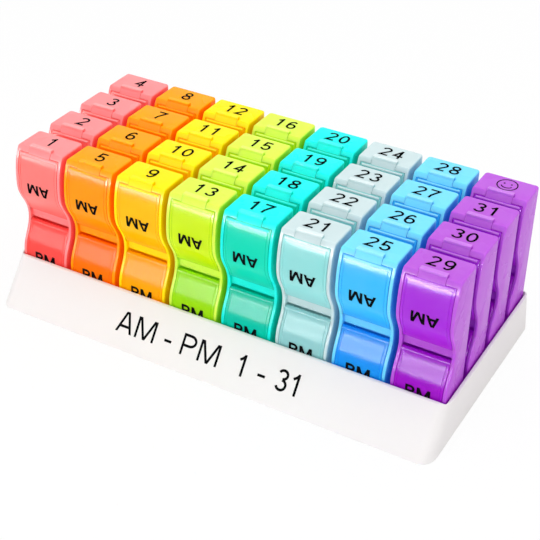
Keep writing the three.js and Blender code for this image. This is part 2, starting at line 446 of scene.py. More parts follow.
class Dye(Enum):
    """The eight column colours: lid, a shell colour lightened by painted light, the pale tint and the tint of
    painted shade and glow.
    """

    # The shell colours are the lid dyes lightened for the light that falls on the tops and sides: painted
    # light.
    PINK = ((255, 128, 124), (246, 146, 148), (255, 200, 198), (240, 60, 54))
    ORANGE = ((255, 150, 0), (254, 162, 0), (255, 200, 40), (248, 102, 0))
    YELLOW = ((255, 184, 0), (255, 232, 0), (255, 240, 60), (248, 154, 0))
    LIME = ((202, 232, 0), (222, 255, 84), (240, 255, 160), (136, 206, 10))
    TEAL = ((0, 212, 180), (14, 255, 238), (120, 250, 236), (0, 182, 158))
    CLEAR = ((142, 214, 212), (200, 216, 218), (248, 254, 254), (140, 190, 192))
    BLUE = ((58, 186, 246), (120, 220, 252), (186, 232, 252), (0, 130, 226))
    VIOLET = ((162, 40, 212), (182, 92, 212), (226, 184, 246), (152, 0, 184))

    @property
    def tints(self) -> list[Colour]:
        """Return the four tints as a shader takes them."""
        return [srgb(*tint) for tint in self.value]

    @property
    def slot(self) -> str:
        """Return the record's material slot for this column."""
        return f"{self.name.lower()}_plastic"

    def lid(self) -> DyedPlastic:
        """Return the finish of this column's lids."""
        # The lids take a strong painted shade below the waist; the shells and tips take a weak one.
        return self._plastic("lid", self.tints[0], roughness=0.2, depth=0.8)

    def shell(self) -> DyedPlastic:
        """Return the finish of this column's box shells."""
        # Painted light: the shell's colour is lighter than the lid's, as the tops and sides look under the
        # top light.
        return self._plastic("shell", self.tints[1], roughness=0.26, depth=0.2)

    def tongue(self) -> DyedPlastic:
        """Return the paler finish of this column's tongue tips and lid beads: a painted highlight on these
        raised parts.
        """
        # Painted highlight: a tint between the shell colour and the pale tint, for the light lines along the
        # tips and beads.
        _, shell, pale, _ = self.tints
        between = tuple((3 * first + second) / 4 for first, second in zip(shell, pale))
        return self._plastic("tongue", between, roughness=0.2, depth=0.2)

    def _plastic(self, part: str, colour: Colour, roughness: float, depth: float) -> DyedPlastic:
        """Return the finish of one part of this column.

        Args:
            part: The part's name.
            colour: Its body colour.
            roughness: The gloss of its skin.
            depth: The share of painted shade from the waist down.

        Returns:
            The finish.
        """
        # The fourth tint colours the painted shade and the painted glow.
        _, _, pale, deep = self.tints
        return DyedPlastic(f"{self.name.lower()}_{part}_plastic", colour, pale, deep, roughness, depth)


def set_out(name: str, data: bpy.types.ID) -> bpy.types.Object:
    """Put a mesh, a lamp or a camera in the scene.

    Args:
        name: The object's name.
        data: The mesh, lamp or camera.

    Returns:
        The object.
    """
    holder = bpy.data.objects.new(name, data)
    bpy.context.scene.collection.objects.link(holder)
    return holder


def discard(holder: bpy.types.Object) -> None:
    """Remove an object and its mesh.

    Args:
        holder: The object.
    """
    mesh = holder.data
    bpy.data.objects.remove(holder)
    bpy.data.meshes.remove(mesh)


def new_mesh(name: str, bm: bmesh.types.BMesh) -> bpy.types.Mesh:
    """Write a bmesh to a new mesh and free it.

    Args:
        name: The mesh's name.
        bm: The finished bmesh.

    Returns:
        The mesh.
    """
    mesh = bpy.data.meshes.new(name)
    bm.to_mesh(mesh)
    bm.free()
    return mesh


def opened(mesh: bpy.types.Mesh) -> bmesh.types.BMesh:
    """Turn a mesh into a bmesh and remove the mesh.

    Args:
        mesh: The mesh.

    Returns:
        The bmesh.
    """
    bm = bmesh.new()
    bm.from_mesh(mesh)
    bpy.data.meshes.remove(mesh)
    return bm


def shift(bm: bmesh.types.BMesh, by: Vector) -> None:
    """Move a whole bmesh."""
    bmesh.ops.translate(bm, verts=bm.verts[:], vec=by)


def turn(bm: bmesh.types.BMesh, angle: float, axis: str) -> None:
    """Turn a whole bmesh about an axis through the origin."""
    bmesh.ops.rotate(bm, verts=bm.verts[:], cent=Vector(), matrix=Matrix.Rotation(angle, 3, axis))


def verts_in(geometry: list[bmesh.types.BMElem]) -> list[bmesh.types.BMVert]:
    """Return the vertices among what an operator gave back."""
    return [item for item in geometry if isinstance(item, bmesh.types.BMVert)]


def climbing(edges: list[bmesh.types.BMEdge], least: float) -> list[bmesh.types.BMEdge]:
    """Return the edges that rise more than a least height."""
    return [edge for edge in edges if abs(edge.verts[0].co.z - edge.verts[1].co.z) > least]


def edges_where(bm: bmesh.types.BMesh, test: Callable[[Vector], bool]) -> list[bmesh.types.BMEdge]:
    """Return the edges whose both ends pass a test on their place."""
    return [edge for edge in bm.edges if all(test(vert.co) for vert in edge.verts)]


def settle(bm: bmesh.types.BMesh) -> None:
    """Put edges and faces in the order of their vertices.

    An extrusion leaves them in an order that changes from run to run, and the facets of later cuts
    change with it.

    Args:
        bm: The bmesh.
    """
    bm.verts.index_update()
    for items in (bm.edges, bm.faces):
        ranked = sorted(items, key=lambda item: sorted(vert.index for vert in item.verts))
        ranks = {item: rank for rank, item in enumerate(ranked)}
        items.sort(key=lambda item: ranks[item])


def trace(bm: bmesh.types.BMesh, points: list[Vector], closed: bool) -> list[bmesh.types.BMVert]:
    """Draw a line of edges through points by extruding one vertex on and on.

    Args:
        bm: The bmesh to draw in.
        points: The points in order.
        closed: Whether the last point is joined to the first.

    Returns:
        The line's vertices in order.
    """
    verts = [bm.verts.new(points[0])]
    for point in points[1:]:
        grown = bmesh.ops.extrude_vert_indiv(bm, verts=[verts[-1]])["verts"]
        bmesh.ops.translate(bm, verts=grown, vec=point - verts[-1].co)
        verts.append(grown[0])
    if closed:
        bmesh.ops.contextual_create(bm, geom=[verts[-1], verts[0]])
    return verts


def pull(bm: bmesh.types.BMesh, faces: list[bmesh.types.BMFace], along: Vector) -> None:
    """Pull flat faces into a closed solid.

    Args:
        bm: The bmesh that holds only those faces.
        faces: The faces.
        along: The way and length to pull them.
    """
    grown = bmesh.ops.extrude_face_region(bm, geom=faces)["geom"]
    bmesh.ops.translate(bm, verts=verts_in(grown), vec=along)
    bmesh.ops.recalc_face_normals(bm, faces=bm.faces[:])
    settle(bm)


def prism(outline: list[Vector], along: Vector) -> bmesh.types.BMesh:
    """Fill a closed outline and pull it along a direction.

    Args:
        outline: The outline's points in one plane.
        along: The way and length to pull it.

    Returns:
        The closed solid.
    """
    bm = bmesh.new()
    trace(bm, outline, closed=True)
    pull(bm, bmesh.ops.edgeloop_fill(bm, edges=bm.edges[:])["faces"], along)
    return bm


def block(low: Vector, high: Vector) -> bmesh.types.BMesh:
    """Make a plain block between two corners.

    Args:
        low: The lowest corner.
        high: The highest corner.

    Returns:
        The block.
    """
    bm = bmesh.new()
    bmesh.ops.create_cube(bm, size=1.0)
    bmesh.ops.scale(bm, verts=bm.verts[:], vec=high - low)
    shift(bm, (low + high) / 2)
    return bm


def bar(radius: float, length: float, centre: Vector, sides: int = 16) -> bmesh.types.BMesh:
    """Make a round bar along X.

    Args:
        radius: The bar's radius.
        length: Its length.
        centre: Its middle.
        sides: How many sides the round has.

    Returns:
        The bar.
    """
    bm = bmesh.new()
    bmesh.ops.create_cone(
        bm, cap_ends=True, segments=sides, radius1=radius, radius2=radius, depth=length,
        matrix=Matrix.Translation(centre) @ Matrix.Rotation(math.pi / 2, 4, "Y"),
    )
    return bm


def round_edges(bm: bmesh.types.BMesh, edges: list[bmesh.types.BMEdge], radius: float, segments: int) -> None:
    """Round some edges of a solid.

    Args:
        bm: The solid.
        edges: The edges to round.
        radius: The rounding's width on each face.
        segments: How many facets the rounding has.
    """
    bmesh.ops.bevel(
        bm, geom=edges, offset=radius, offset_type="OFFSET", segments=segments, profile=0.5,
        affect="EDGES", clamp_overlap=True, material=-1,
    )


def finished(holder: bpy.types.Object) -> bpy.types.Mesh:
    """Apply an object's modifiers and remove the object.

    Args:
        holder: The object, which is used up with its mesh.

    Returns:
        The mesh that the modifiers make, under the old mesh's name.
    """
    name = holder.data.name
    graph = bpy.context.evaluated_depsgraph_get()
    shaped = bpy.data.meshes.new_from_object(holder.evaluated_get(graph))
    discard(holder)
    shaped.name = name
    return shaped


def combine(body: bpy.types.Mesh, join: Join, *tools: bpy.types.Mesh) -> bpy.types.Mesh:
    """Cut one closed mesh with others in turn, or weld them to it.

    Args:
        body: The mesh to change.
        join: Whether the others cut it or are welded to it.
        *tools: The other meshes.

    Returns:
        The combined mesh. All inputs are used up.
    """
    for tool in tools:
        holder = set_out("body", body)
        cutter = set_out("tool", tool)
        boolean = holder.modifiers.new("join", "BOOLEAN")
        boolean.object = cutter
        boolean.operation = join.value
        boolean.solver = "EXACT"
        body = finished(holder)
        discard(cutter)
    return body


def softened(mesh: bpy.types.Mesh, radius: float, angle: float, segments: int = 3) -> bpy.types.Mesh:
    """Round every edge of a mesh that is sharper than an angle, and shade it smooth.

    Args:
        mesh: The mesh, which is used up.
        radius: The rounding.
        angle: The sharpness, in degrees, from which an edge is rounded.
        segments: The rounding's facets.

    Returns:
        The rounded mesh.
    """
    name = mesh.name
    bm = opened(mesh)
    bmesh.ops.remove_doubles(bm, verts=bm.verts[:], dist=MERGE)
    bmesh.ops.dissolve_degenerate(bm, edges=bm.edges[:], dist=NEAR)
    holder = set_out(name, new_mesh(name, bm))
    bevel = holder.modifiers.new("round", "BEVEL")
    bevel.width = radius
    bevel.segments = segments
    bevel.limit_method = "ANGLE"
    bevel.angle_limit = math.radians(angle)
    bevel.use_clamp_overlap = False
    bevel.harden_normals = False
    return smooth(finished(holder))


def smooth(mesh: bpy.types.Mesh, crease: float = 32.0) -> bpy.types.Mesh:
    """Shade a mesh smooth, but keep its creases.

    Args:
        mesh: The mesh.
        crease: The angle, in degrees, from which an edge stays a crease.

    Returns:
        The same mesh.
    """
    mesh.shade_smooth()
    mesh.set_sharp_from_angle(angle=math.radians(crease))
    return mesh


@dataclass(frozen=True)
class BoxSizes:
    """Sizes of one day box, in metres, in the box's own coordinates.

    The origin is at the middle of the box's width, under its top front edge, on its bottom face.
    """

    width: float = 25.4 * MM
    height: float = 76 * MM
    top_depth: float = 15.5 * MM
    belly: float = 4.5 * MM
    waist_inset: float = 1.3 * MM
    waist_z: float = 38 * MM
    side_wall: float = 1.5 * MM
    back_wall: float = 1.5 * MM
    end_wall: float = 2.4 * MM
    divider: float = 2 * MM
    divider_recess: float = 1.6 * MM
    lip_wall: float = 1.4 * MM
    lip_half_height: float = 2.1 * MM
    back_radius: float = 1.6 * MM
    inner_radius: float = 1.2 * MM
    top_radius: float = 0.8 * MM
    rim_radius: float = 0.3 * MM
    lid_wall: float = 1.4 * MM
    clearance: float = 0.3 * MM
    seam: float = 0.15 * MM
    barrel_radius: float = 1.4 * MM
    hinge_rise: float = 3.3 * MM
    hinge_y: float = 2.135 * MM
    pin_radius: float = 0.8 * MM
    pin_reach: float = 0.7 * MM
    catch_width: float = 12 * MM
    catch_depth: float = 2.2 * MM
    catch_rise: float = 1.2 * MM
    catch_seam: float = 0.05 * MM
    catch_radius: float = 0.22 * MM
    bead_radius: float = 0.6 * MM
    bead_drop: float = 0.9 * MM
    bead_sink: float = 0.22 * MM
    overrun: float = 3 * MM

    @property
    def opening(self) -> float:
        """Return the width between the two side walls."""
        return self.width - 2 * self.side_wall

    @property
    def lid_width(self) -> float:
        """Return the width of a lid."""
        return self.opening - 2 * self.seam

    @property
    def recess_y(self) -> float:
        """Return how far back the divider's front face stands."""
        return self.waist_inset + self.divider_recess

    def end_z(self, half: Half) -> float:
        """Return the height of the outer end of a half."""
        return self.height if half is Half.MORNING else 0.0

    def ceiling_z(self, half: Half) -> float:
        """Return the height of the inner face of a half's end wall."""
        return self.end_z(half) - half.value * self.end_wall

    def divider_z(self, half: Half) -> float:
        """Return the height of the divider's face towards a half."""
        return self.waist_z + half.value * self.divider / 2

    def hinge_z(self, half: Half) -> float:
        """Return the height of a half's hinge."""
        return self.divider_z(half) + half.value * self.hinge_rise

    def lid_end_z(self, half: Half) -> float:
        """Return the height of a lid's outer end."""
        return self.ceiling_z(half) - half.value * self.seam

    def belly_z(self, half: Half) -> float:
        """Return the height at which a half is fullest."""
        return (self.waist_z + self.end_z(half)) / 2


@dataclass
class FrontCurve:
    """The S-shaped front: how far forward the box is at each height.

    Attributes:
        sizes: The day box's sizes.
        steps: Points on each quarter wave.
        crown_pull: How hard the crown bulges out below the top edge.
        crown_drop: How far down that pull acts.
        belly_pull: How long the belly stays full.
        waist_pull: How long the waist stays narrow.
    """

    sizes: BoxSizes
    steps: int = 12
    crown_pull: float = 0.55
    crown_drop: float = 0.16
    belly_pull: float = 0.5
    waist_pull: float = 0.42

    def __post_init__(self) -> None:
        """Work out the (height, y) points from the bottom edge to the top edge."""
        quarters = [quarter for half in Half for quarter in self._quarters(half)]
        self.points = sorted({point for quarter in quarters for point in self._bezier(quarter)})

    def _quarters(self, half: Half) -> list[list[Pair]]:
        """Work out the two Bezier quarters of one half.

        Args:
            half: The half.

        Returns:
            Their (height, y) control points.
        """
        size = self.sizes
        end, belly, waist = size.end_z(half), size.belly_z(half), size.waist_z
        outer, inner = end - belly, belly - waist
        return [
            [
                (end, 0.0),
                (end - outer * self.crown_drop, -size.belly * self.crown_pull),
                (belly + outer * self.belly_pull, -size.belly),
                (belly, -size.belly),
            ],
            [
                (belly, -size.belly),
                (belly - inner * self.waist_pull, -size.belly),
                (waist + inner * self.waist_pull, size.waist_inset),
                (waist, size.waist_inset),
            ],
        ]

    def _bezier(self, quarter: list[Pair]) -> list[Pair]:
        """Work out points on one cubic, rounded so that shared ends meet.

        Args:
            quarter: Its four control points.

        Returns:
            The points.
        """
        found = []
        for step in range(self.steps + 1):
            t = step / self.steps
            weights = ((1 - t) ** 3, 3 * t * (1 - t) ** 2, 3 * t * t * (1 - t), t**3)
            height = sum(weight * point[0] for weight, point in zip(weights, quarter))
            depth = sum(weight * point[1] for weight, point in zip(weights, quarter))
            found.append((round(height, 7), round(depth, 7)))
        return found

    def y(self, z: float) -> float:
        """Find the front's place in depth.

        Args:
            z: The height.

        Returns:
            The place there.
        """
        for low, high in zip(self.points, self.points[1:]):
            if low[0] <= z <= high[0]:
                share = (z - low[0]) / (high[0] - low[0])
                return low[1] + share * (high[1] - low[1])
        return 0.0

    def stretch(self, from_z: float, to_z: float) -> list[Pair]:
        """Follow the front from one height to another.

        Args:
            from_z: Where to start.
            to_z: Where to end.

        Returns:
            The (height, y) points in that order.
        """
        low, high = sorted((from_z, to_z))
        inside = [point for point in self.points if low < point[0] < high]
        line = [(low, self.y(low)), *inside, (high, self.y(high))]
        return line if from_z < to_z else line[::-1]


@dataclass
class DayBoxShapes:
    """Models the shell and the two lids of one day box, once, as masters to copy.

    Attributes:
        sizes: The day box's sizes.
        lid_edge: Points across a lid's edge in millimetres, as the distance from its side and the
            inset from its face: a rolled edge, then a fine groove.
    """

    sizes: BoxSizes = field(default_factory=BoxSizes)
    lid_edge: tuple[Pair, ...] = (
        (0.0, 0.32), (0.1, 0.12), (0.32, 0.0), (1.0, 0.0), (1.18, 0.2), (1.42, 0.2), (1.6, 0.0), (4.0, 0.0),
    )

    def __post_init__(self) -> None:
        """Prepare the front curve."""
        self.front = FrontCurve(self.sizes)

    def shell(self) -> bpy.types.Mesh:
        """Model the open shell with its two compartments.

        Returns:
            The shell's mesh.
        """
        size = self.sizes
        side = size.width / 2
        outline = [Vector((-side, y, z)) for z, y in self.front.points]
        outline += [Vector((-side, size.top_depth, size.height)), Vector((-side, size.top_depth, 0))]
        bm = prism(outline, Vector((size.width, 0, 0)))
        back = edges_where(bm, lambda co: co.y > size.top_depth - NEAR and abs(abs(co.x) - side) < NEAR)
        round_edges(bm, climbing(back, NEAR), size.back_radius, segments=5)
        mesh = new_mesh("shell_master", bm)
        for half in Half:
            mesh = combine(mesh, Join.CUT, self._compartment(half), self._notch(half), self._sockets(half))
        mesh = combine(mesh, Join.CUT, self._waist_recess())
        bm = opened(combine(mesh, Join.WELD, self._divider_lip()))
        round_edges(bm, [edge for edge in bm.edges if self._is_crown(edge)], size.top_radius, segments=4)
        return softened(new_mesh("shell_master", bm), size.rim_radius, angle=50)

    def _is_crown(self, edge: bmesh.types.BMEdge, sharp: float = 0.5) -> bool:
        """Tell whether an edge runs round the sides and the back of the top face.

        Args:
            edge: The edge.
            sharp: The least angle between its faces, in radians.

        Returns:
            Whether it does.
        """
        size = self.sizes
        on_top = all(vert.co.z > size.height - NEAR for vert in edge.verts)
        middle = (edge.verts[0].co + edge.verts[1].co) / 2
        outside = (
            abs(middle.x) > size.width / 2 - size.back_radius or middle.y > size.top_depth - size.back_radius
        )
        behind = middle.y >= NEAR
        return on_top and outside and behind and len(edge.link_faces) == 2 and edge.calc_face_angle() > sharp

    def _cutter(self, side: float, back: float, heights: Pair) -> bmesh.types.BMesh:
        """Make a block that cuts in from the front.

        Args:
            side: Half its width.
            back: How far back it reaches.
            heights: Its two ends, in any order.

        Returns:
            The block.
        """
        low_z, high_z = sorted(heights)
        front = -self.sizes.belly - self.sizes.overrun
        return block(Vector((-side, front, low_z)), Vector((side, back, high_z)))

    def _compartment(self, half: Half) -> bpy.types.Mesh:
        """Make the space cut out for one compartment, open to the front.

        Args:
            half: The compartment.

        Returns:
            The space.
        """
        size = self.sizes
        heights = (size.divider_z(half), size.ceiling_z(half))
        bm = self._cutter(size.opening / 2, size.top_depth - size.back_wall, heights)
        round_edges(bm, edges_where(bm, lambda co: co.y > 0), size.inner_radius, segments=3)
        return new_mesh("compartment", bm)

    def _notch(self, half: Half) -> bpy.types.Mesh:
        """Make the notch that a lid's catch tongue fills.

        Args:
            half: The lid's compartment.

        Returns:
            The notch.
        """
        size = self.sizes
        reach = half.value * size.overrun
        heights = (size.ceiling_z(half) - reach, size.end_z(half) + reach)
        side = size.catch_width / 2 + size.catch_seam
        return new_mesh("notch", self._cutter(side, size.catch_depth + size.catch_seam, heights))

    def _sockets(self, half: Half) -> bpy.types.Mesh:
        """Make the two blind sockets that a lid's stub pins stand in.

        Args:
            half: The lid's compartment.

        Returns:
            The sockets, as one bar.
        """
        size = self.sizes
        reach = size.opening + 2 * (size.pin_reach + size.clearance)
        centre = Vector((0, size.hinge_y, size.hinge_z(half)))
        return new_mesh("sockets", bar(size.pin_radius + size.clearance, reach, centre))

    def _waist_recess(self) -> bpy.types.Mesh:
        """Make the recess that sets the divider back between the two lids.

        Returns:
            The recess.
        """
        size = self.sizes
        heights = (size.waist_z - size.overrun, size.waist_z + size.overrun)
        return new_mesh("recess", self._cutter(size.opening / 2, size.recess_y, heights))

    def _divider_lip(self) -> bpy.types.Mesh:
        """Make the upright lip that closes the slots between the divider and the two barrels.

        Returns:
            The lip.
        """
        size = self.sizes
        side = (size.opening + size.side_wall) / 2
        low = Vector((-side, size.recess_y, size.waist_z - size.lip_half_height))
        high = Vector((side, size.recess_y + size.lip_wall, size.waist_z + size.lip_half_height))
        return new_mesh("lip", block(low, high))

    def lid(self, half: Half) -> bpy.types.Mesh:
        """Model one lid: a curved panel, its catch tongue, its barrel and its pins.

        Args:
            half: The compartment that it shuts.

        Returns:
            The lid's mesh.
        """
        size = self.sizes
        centre = Vector((0, size.hinge_y, size.hinge_z(half)))
        barrel = new_mesh("barrel", bar(size.barrel_radius, size.lid_width, centre, sides=24))
        reach = size.lid_width + 2 * (size.clearance + size.pin_reach)
        pins = new_mesh("pins", bar(size.pin_radius, reach, centre))
        mesh = combine(self._panel(half), Join.WELD, self._bead(half), self._tongue(half), barrel, pins)
        for facet in mesh.polygons:
            facet.material_index = self._lid_finish(half, facet.center)
        return smooth(mesh)

    def _lid_finish(self, half: Half, middle: Vector) -> int:
        """Tell which of a lid's finishes a facet has.

        Args:
            half: The lid's compartment.
            middle: The facet's middle.

        Returns:
            0 for the lid's own, 1 for the tip and bead with their painted highlight, 2 for the shell's beside
            it.
        """
        size = self.sizes
        past_end = half.value * (middle.z - size.lid_end_z(half))
        past_top = half.value * (middle.z - size.end_z(half))
        on_bead = -2 * size.bead_drop < past_end < NEAR and middle.y < self.front.y(middle.z) - 5 * NEAR
        # The tip and the bead take the paler finish, a painted highlight.
        if past_top > NEAR or on_bead:
            return 1
        return 2 if past_end > NEAR else 0

    def _panel(self, half: Half) -> bpy.types.Mesh:
        """Make the curved panel, with a fine groove inside each edge.

        Args:
            half: The lid's compartment.

        Returns:
            The panel.
        """
        size = self.sizes
        line = self.front.stretch(size.hinge_z(half), size.lid_end_z(half))
        start_z, start_y = line[0]
        bm = bmesh.new()
        trace(bm, [Vector((x, start_y + inset, start_z)) for x, inset in self._stations()], closed=False)
        edges = bm.edges[:]
        for before, after in zip(line, line[1:]):
            grown = bmesh.ops.extrude_edge_only(bm, edges=edges)["geom"]
            edges = [item for item in grown if isinstance(item, bmesh.types.BMEdge)]
            edges.sort(key=lambda edge: edge.verts[0].co.x + edge.verts[1].co.x)
            step = Vector((0, after[1] - before[1], after[0] - before[0]))
            bmesh.ops.translate(bm, verts=verts_in(grown), vec=step)
        inner = bmesh.ops.extrude_face_region(bm, geom=bm.faces[:] + bm.edges[:] + bm.verts[:])["geom"]
        for vert in verts_in(inner):
            vert.co.y = self.front.y(vert.co.z) + size.lid_wall
        bmesh.ops.recalc_face_normals(bm, faces=bm.faces[:])
        settle(bm)
        return new_mesh(f"{half.name.lower()}_lid_master", bm)

    def _stations(self) -> list[Pair]:
        """Work out the points across a lid, with its edge at both sides.

        Returns:
            Their (x, inset) places from left to right.
        """
        side = self.sizes.lid_width / 2
        left = [(-side + away * MM, inset * MM) for away, inset in self.lid_edge]
        right = [(-x, inset) for x, inset in reversed(left)]
        return [*left, (0.0, 0.0), *right]

    def _bead(self, half: Half) -> bpy.types.Mesh:
        """Make the fine bead that runs across a lid by its outer end.

        Args:
            half: The lid's compartment.

        Returns:
            The bead.
        """
        size = self.sizes
        height = size.lid_end_z(half) - half.value * size.bead_drop
        place = Vector((0, self.front.y(height) + size.bead_sink, height))
        return new_mesh("bead", bar(size.bead_radius, size.lid_width - 2 * size.bead_drop, place))

    def _tongue(self, half: Half) -> bpy.types.Mesh:
        """Make the catch tongue that stands in the notch and rises over the top face.

        Args:
            half: The lid's compartment.

        Returns:
            The tongue.
        """
        size = self.sizes
        root_z = size.lid_end_z(half) - half.value * size.lid_wall
        line = self.front.stretch(root_z, size.end_z(half))
        tip_z = size.end_z(half) + (size.catch_rise if half is Half.MORNING else 0.0)
        side = size.catch_width / 2
        outline = [Vector((-side, y, z)) for z, y in line]
        if half is Half.MORNING:
            outline.append(Vector((-side, line[-1][1], tip_z)))
        outline += [Vector((-side, size.catch_depth, tip_z)), Vector((-side, size.catch_depth, root_z))]
        bm = prism(outline, Vector((size.catch_width, 0, 0)))
        tip = edges_where(bm, lambda co: abs(co.z - tip_z) < NEAR)
        round_edges(bm, tip, size.catch_radius, segments=3)
        return new_mesh("tongue", bm)


@dataclass(frozen=True)
class Lettering:
    """Plain sans figures and capitals, drawn as strokes of one width in a cap height of 1.

    Attributes:
        stroke: The strokes' width.
        gap: The space between two signs.
        figure: The width of a figure.
        arc_steps: Facets of a full round.
        sharpest: The least share to which a bend's mitre is held back.
    """

    stroke: float
    gap: float
    figure: float = 0.6
    arc_steps: int = 28
    sharpest: float = 0.35

    def sign(self, sign: str) -> tuple[float, bpy.types.Mesh | None]:
        """Draw one sign as a solid from -1 to 1 in height over its plane.

        Args:
            sign: A figure, one of A, M, P, a dash or a space.

        Returns:
            The sign's width and its mesh, which is None for a space.
        """
        width, strokes = self._strokes(sign)
        pieces = [self._solid(points) for points in strokes]
        return width, combine(pieces[0], Join.WELD, *pieces[1:]) if pieces else None

    def _arc(self, x: float, y: float, rx: float, ry: float, start: float, end: float) -> list[Pair]:
        """Work out points on an upright ellipse between two angles.

        Args:
            x: The middle across.
            y: The middle in height.
            rx: Half the width.
            ry: Half the height.
            start: The first angle in degrees.
            end: The last angle in degrees.

        Returns:
            The points.
        """
        steps = max(2, round(abs(end - start) / 360 * self.arc_steps))
        turns = [math.radians(start + (end - start) * step / steps) for step in range(steps + 1)]
        return [(x + rx * math.cos(angle), y + ry * math.sin(angle)) for angle in turns]

    def _strokes(self, sign: str) -> tuple[float, list[list[Pair]]]:
        """Draw a sign's strokes as middle lines.

        Args:
            sign: The sign.

        Returns:
            Its width and its lines.
        """
        half, wide = self.stroke / 2, self.figure
        low, high, left, right = half, 1 - half, half, wide - half
        x, rx = wide / 2, wide / 2 - half
        six = [
            self._arc(x, 0.32, rx, 0.32 - half, 0, 360),
            self._arc(x + 0.01, 0.47, rx + 0.01, 0.53 - half, 182, 52),
        ]
        bowl = self._arc(0.42, (high + 0.46) / 2, 0.36 - half, (high - 0.46) / 2, 80, -80)
        table = {
            " ": (0.3, []),
            "-": (0.4, [[(0, 0.36), (0.4, 0.36)]]),
            "0": (wide, [self._arc(x, 0.5, rx, 0.5 - half, 0, 360)]),
            "1": (wide, [[(0.34, 0), (0.34, 1)], [(0.1, 0.72), (0.24, 0.82), (0.34, high)]]),
            "2": (wide, [[*self._arc(x, 0.72, rx, 0.28 - half, 165, -30), (left, low), (right, low)]]),
            "3": (wide, [
                self._arc(x, 0.745, rx * 0.92, 0.255 - half, 160, -90),
                self._arc(x, 0.285, rx, 0.285 - half, 90, -160),
            ]),
            "4": (wide, [[(0.4, 0), (0.4, 1)], [(0.4, high), (half, 0.3), (wide, 0.3)]]),
            "5": (wide, [
                [(right - 0.01, high), (0.14, high), (0.09, 0.45)],
                self._arc(x, 0.325, rx, 0.325 - half, 142, -160),
            ]),
            "6": (wide, six),
            "7": (wide, [[(0, high), (right, high), (0.35, 0.58), (0.22, 0.3), (0.18, 0)]]),
            "8": (wide, [
                self._arc(x, 0.75, rx * 0.86, 0.25 - half, 0, 360),
                self._arc(x, 0.28, rx, 0.28 - half, 0, 360),
            ]),
            "9": (wide, [[(wide - px, 1 - py) for px, py in stroke] for stroke in six]),
            "A": (1.0, [[(0.1, 0), (0.47, 1)], [(0.9, 0), (0.53, 1)], [(0.24, 0.3), (0.76, 0.3)]]),
            "M": (1.1, [
                [(half, 0), (half, 1)], [(1.1 - half, 0), (1.1 - half, 1)],
                [(0.13, 1), (0.55, 0)], [(0.97, 1), (0.55, 0)],
            ]),
            "P": (0.84, [
                [(half, 0), (half, 1)],
                [(half, high), (0.42, high), *bowl, (0.42, 0.46), (half, 0.46)],
            ]),
        }
        return table[sign]

    def _solid(self, points: list[Pair]) -> bpy.types.Mesh:
        """Give one stroke its width and pull it through its plane.

        Args:
            points: The stroke's middle line; a ring ends where it starts.

        Returns:
            The stroke.
        """
        ring = math.dist(points[0], points[-1]) < NEAR
        if ring:
            points = points[:-1]
        across, rise = (abs(last - first) for first, last in zip(points[0], points[-1]))
        if len(points) == 2 and rise > across:
            reach = self.stroke / 2 * math.dist(*points) / rise
            sides = [[(px + away, py) for px, py in points] for away in (reach, -reach)]
        else:
            sides = [self._beside(points, away, ring) for away in (self.stroke / 2, -self.stroke / 2)]
        outlines = sides if ring else [sides[0] + sides[1][::-1]]
        bm = bmesh.new()
        for outline in outlines:
            trace(bm, [Vector((px, py, -1)) for px, py in outline], closed=True)
        fill = bmesh.ops.bridge_loops if ring else bmesh.ops.edgeloop_fill
        pull(bm, fill(bm, edges=bm.edges[:])["faces"], Vector((0, 0, 2)))
        return new_mesh("stroke", bm)

    def _beside(self, points: list[Pair], away: float, ring: bool) -> list[Pair]:
        """Run a line beside a line, mitred at its bends.

        Args:
            points: The line.
            away: How far to its left the new one runs.
            ring: Whether it closes on itself.

        Returns:
            The new line.
        """
        found = []
        count = len(points)
        for index, (px, py) in enumerate(points):
            before = points[index - 1] if index or ring else (px, py)
            after = points[(index + 1) % count] if index < count - 1 or ring else (px, py)
            first = Vector((px - before[0], py - before[1])).normalized()
            second = Vector((after[0] - px, after[1] - py)).normalized()
            along = first if first.length else second
            way = (along + (second if second.length else first)).normalized()
            stretch = away / max(self.sharpest, way.dot(along))
            found.append((px - way.y * stretch, py + way.x * stretch))
        return found


